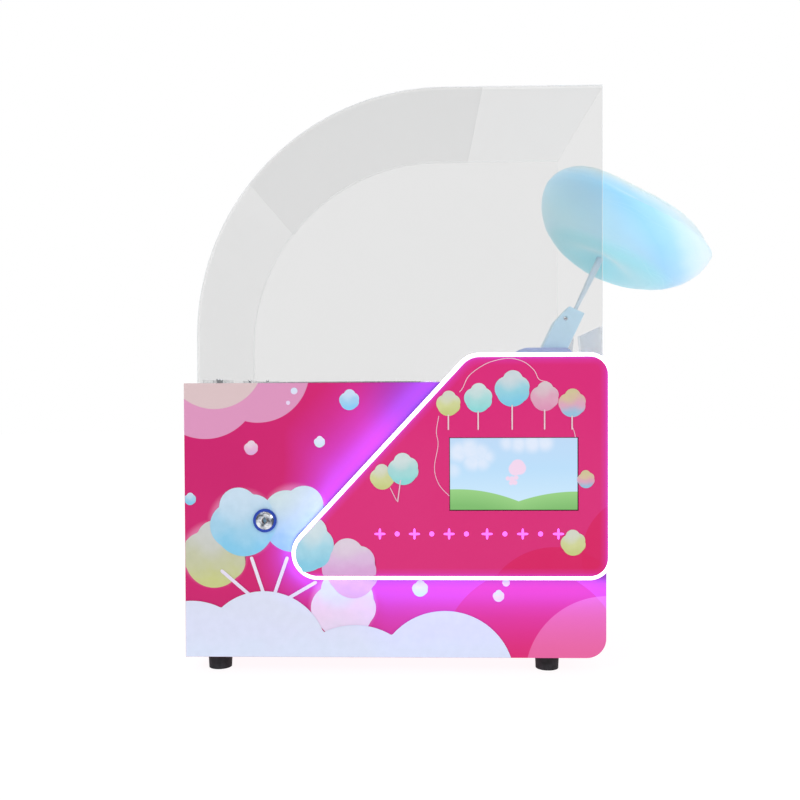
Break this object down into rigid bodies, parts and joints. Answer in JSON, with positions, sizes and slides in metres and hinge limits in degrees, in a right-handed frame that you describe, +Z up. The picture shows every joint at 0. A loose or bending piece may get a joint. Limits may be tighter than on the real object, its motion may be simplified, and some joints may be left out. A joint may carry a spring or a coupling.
{
  "type": "cotton candy machine",
  "caption": "Counter-top cotton candy machine: steel cabinet with front door, light panel and display, clear arched hood, bowl with spinner head, and an arm that winds floss on a stick.",
  "frame": {"origin": "on the standing surface, in the middle of the four feet", "axes": "+Z up, +Y from the front door to the rear panel, +X to the right as seen from the front"},
  "size_m": [0.7116, 0.4206, 0.725],
  "materials": {
    "pink_print": "gloss",
    "white_deck": "gloss",
    "zinc_screw": "bright",
    "hinge_steel": "satin",
    "foot_rubber": "matte",
    "lock_chrome": "polished",
    "blue_collar": "gloss",
    "opal_acrylic": "opal, lit from inside",
    "pink_acrylic": "gloss",
    "light_strip": "emissive",
    "display_case": "satin",
    "display_glass": "lit glass",
    "clear_acrylic": "clear",
    "bowl_metal": "spun",
    "shaft_steel": "ground",
    "motor_black": "satin",
    "brass": "satin",
    "heater_wire": "oxidised",
    "hopper_plastic": "gloss",
    "lid_plastic": "gloss",
    "pipe_metal": "satin",
    "arm_paint": "satin",
    "stick_plastic": "gloss",
    "floss": "spun sugar",
    "supply_case": "brushed",
    "circuit_board": "satin",
    "fan_plastic": "satin",
    "guard_chrome": "bright",
    "inlet_plastic": "satin",
    "red_rocker": "gloss"
  },
  "bodies": {
    "cabinet": {"base_pan": "pink_print", "left_panel": "pink_print", "rear_panel": "pink_print", "deck_plate": "white_deck", "case_screws": "zinc_screw", "feet": "foot_rubber", "body_hinge_leaves": "hinge_steel", "hinge_pins": "zinc_screw", "hood_near_sheet": "clear_acrylic", "hood_far_sheet": "clear_acrylic", "hood_side_sheet": "clear_acrylic", "hood_arch_sheet": "clear_acrylic", "hood_top_sheet": "clear_acrylic", "hood_sill": "clear_acrylic", "hood_tabs": "clear_acrylic", "bowl": "bowl_metal", "spinner_motor": "motor_black", "motor_bracket": "hinge_steel", "sugar_hopper": "hopper_plastic", "dosing_motor": "motor_black", "feed_pipe": "pipe_metal", "arm_yoke": "arm_paint", "arm_gearmotor": "motor_black", "power_supply": "supply_case", "control_board": "circuit_board", "fan_frame": "fan_plastic", "fan_guard": "guard_chrome", "power_inlet": "inlet_plastic"},
    "door": {"door_skin": "pink_print", "door_hinge_leaves": "hinge_steel", "lock_body": "lock_chrome", "lock_ring": "blue_collar", "opal_diffuser": "opal_acrylic", "light_plate": "pink_acrylic", "led_strip": "light_strip", "panel_spacers": "zinc_screw", "display_module": "display_case", "display_glass": "display_glass"},
    "lock": {"lock_plug": "lock_chrome", "lock_cam": "lock_chrome"},
    "spinner": {"spinner_shaft": "shaft_steel", "slip_rings": "brass", "head_base": "bowl_metal", "head_band": "bowl_metal", "head_cap": "bowl_metal", "heating_element": "heater_wire"},
    "lid": {"sugar_lid": "lid_plastic"},
    "auger": {"auger": "shaft_steel"},
    "dosing_pinion": {"dosing_pinion": "brass"},
    "arm": {"arm_shaft": "shaft_steel", "arm_housing": "arm_paint", "arm_cover": "arm_paint", "arm_screw": "zinc_screw", "stick_motor": "motor_black"},
    "arm_pinion": {"arm_pinion": "brass"},
    "chuck": {"chuck": "shaft_steel"},
    "stick": {"stick": "stick_plastic", "cotton_candy": "floss"},
    "fan": {"fan_rotor": "fan_plastic"},
    "switch": {"power_rocker": "red_rocker"}
  },
  "joints": [
    {"name": "door_swing", "type": "hinge", "parent": "cabinet", "child": "door", "pos_m": [0.2785, -0.2, 0.26], "axis": [0, 0, 1], "range_deg": [0, 105]},
    {"name": "lock_turn", "type": "hinge", "parent": "door", "child": "lock", "pos_m": [-0.144, -0.2, 0.19], "axis": [0, 1, 0], "range_deg": [0, 90]},
    {"name": "spinner_spin", "type": "hinge", "parent": "cabinet", "child": "spinner", "pos_m": [-0.004, 0, 0.25], "axis": [0, 0, 1], "continuous": true},
    {"name": "lid_slide", "type": "slide", "parent": "cabinet", "child": "lid", "axis": [0, 1, 0], "range_m": [0, 0.06]},
    {"name": "auger_turn", "type": "hinge", "parent": "cabinet", "child": "auger", "pos_m": [-0.149, -0.125, 0.126], "axis": [1, 0, 0], "continuous": true},
    {"name": "dosing_turn", "type": "hinge", "parent": "cabinet", "child": "dosing_pinion", "pos_m": [-0.099, -0.125, 0.09], "axis": [1, 0, 0], "continuous": true},
    {"name": "arm_swing", "type": "hinge", "parent": "cabinet", "child": "arm", "pos_m": [0.23, 0, 0.378], "axis": [0, -1, 0], "range_deg": [0, 80]},
    {"name": "arm_drive", "type": "hinge", "parent": "cabinet", "child": "arm_pinion", "pos_m": [0.23, 0.02, 0.336], "axis": [0, -1, 0], "range_deg": [-294, 0]},
    {"name": "stick_spin", "type": "hinge", "parent": "arm", "child": "chuck", "pos_m": [0.23, 0, 0.378], "axis": [0.4384, 0, 0.8988], "continuous": true},
    {"name": "stick_pull", "type": "slide", "parent": "chuck", "child": "stick", "axis": [0.4384, 0, 0.8988], "range_m": [0, 0.03]},
    {"name": "fan_spin", "type": "hinge", "parent": "cabinet", "child": "fan", "pos_m": [0.186, 0.186, 0.11], "axis": [0, 1, 0], "continuous": true},
    {"name": "power_switch", "type": "hinge", "parent": "cabinet", "child": "switch", "pos_m": [-0.174, 0.198, 0.104], "axis": [1, 0, 0], "range_deg": [0, 16]}
  ],
  "couplings": [
    {"joint": "arm_drive", "follows": "arm_swing", "ratio": -3.6667},
    {"joint": "dosing_turn", "follows": "auger_turn", "ratio": -3}
  ]
}
